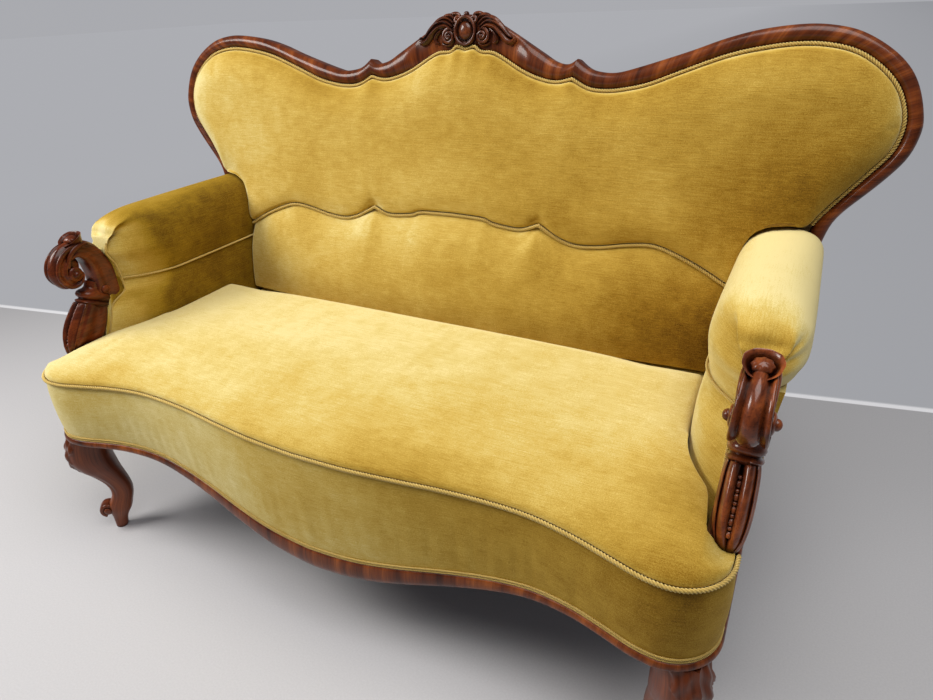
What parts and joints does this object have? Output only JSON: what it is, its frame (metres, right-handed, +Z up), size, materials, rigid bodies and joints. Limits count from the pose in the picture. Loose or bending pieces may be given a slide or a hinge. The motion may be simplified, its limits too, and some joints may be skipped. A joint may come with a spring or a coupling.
{
  "type": "cabriole sofa",
  "caption": "Cabriole sofa with a serpentine sprung seat, carved scroll arm posts, and a shaped show-wood back with rounded shoulders and a carved crest.",
  "frame": {"origin": "on the floor, under the middle of the sofa's bounding box", "axes": "+X along the seat, towards the sitter's left arm; +Y towards the back, the front faces -Y; +Z up"},
  "size_m": [1.78, 0.82, 1.136],
  "materials": {
    "mahogany": "French-polished mahogany veneer and carving",
    "beech": "plain beech frame wood",
    "plush": "gold mohair plush",
    "piping_cord": "twisted gold cord and gimp",
    "jute": "woven jute webbing and hessian",
    "dust_cloth": "black calico dust cover",
    "steel": "copper-washed spring and screw steel"
  },
  "bodies": {
    "root": {"front_rail": "mahogany", "side_rail_left": "mahogany", "side_rail_right": "mahogany", "back_seat_rail": "mahogany", "front_batten": "beech", "corner_block_front_left": "beech", "corner_block_front_right": "beech", "corner_block_rear_left": "beech", "corner_block_rear_right": "beech", "front_leg_left": "mahogany", "front_leg_right": "mahogany", "rear_leg_left": "mahogany", "rear_leg_right": "mahogany", "crest_rail": "mahogany", "crest_carving": "mahogany", "shoulder_rail_left": "mahogany", "shoulder_rail_right": "mahogany", "back_stile_left": "mahogany", "back_stile_right": "mahogany", "back_base_rail": "beech", "back_mid_rail": "beech", "arm_post_left": "mahogany", "arm_post_right": "mahogany", "arm_rail_left": "beech", "arm_rail_right": "beech", "arm_tack_rail_left": "beech", "arm_tack_rail_right": "beech", "seat_webbing": "jute", "seat_springs": "steel", "spring_hessian": "jute", "dust_cover": "dust_cloth", "seat_cushion": "plush", "seat_border": "plush", "seat_welt": "piping_cord", "rail_gimp": "piping_cord", "back_webbing": "jute", "back_hessian": "jute", "back_upper_pad": "plush", "back_lumbar_pad": "plush", "back_piping": "piping_cord", "lumbar_piping": "piping_cord", "arm_pad_left": "plush", "arm_pad_right": "plush", "arm_piping_left": "piping_cord", "arm_piping_right": "piping_cord", "outside_arm_left": "plush", "outside_arm_right": "plush", "outside_back": "plush", "block_screws": "steel"}
  },
  "joints": []
}
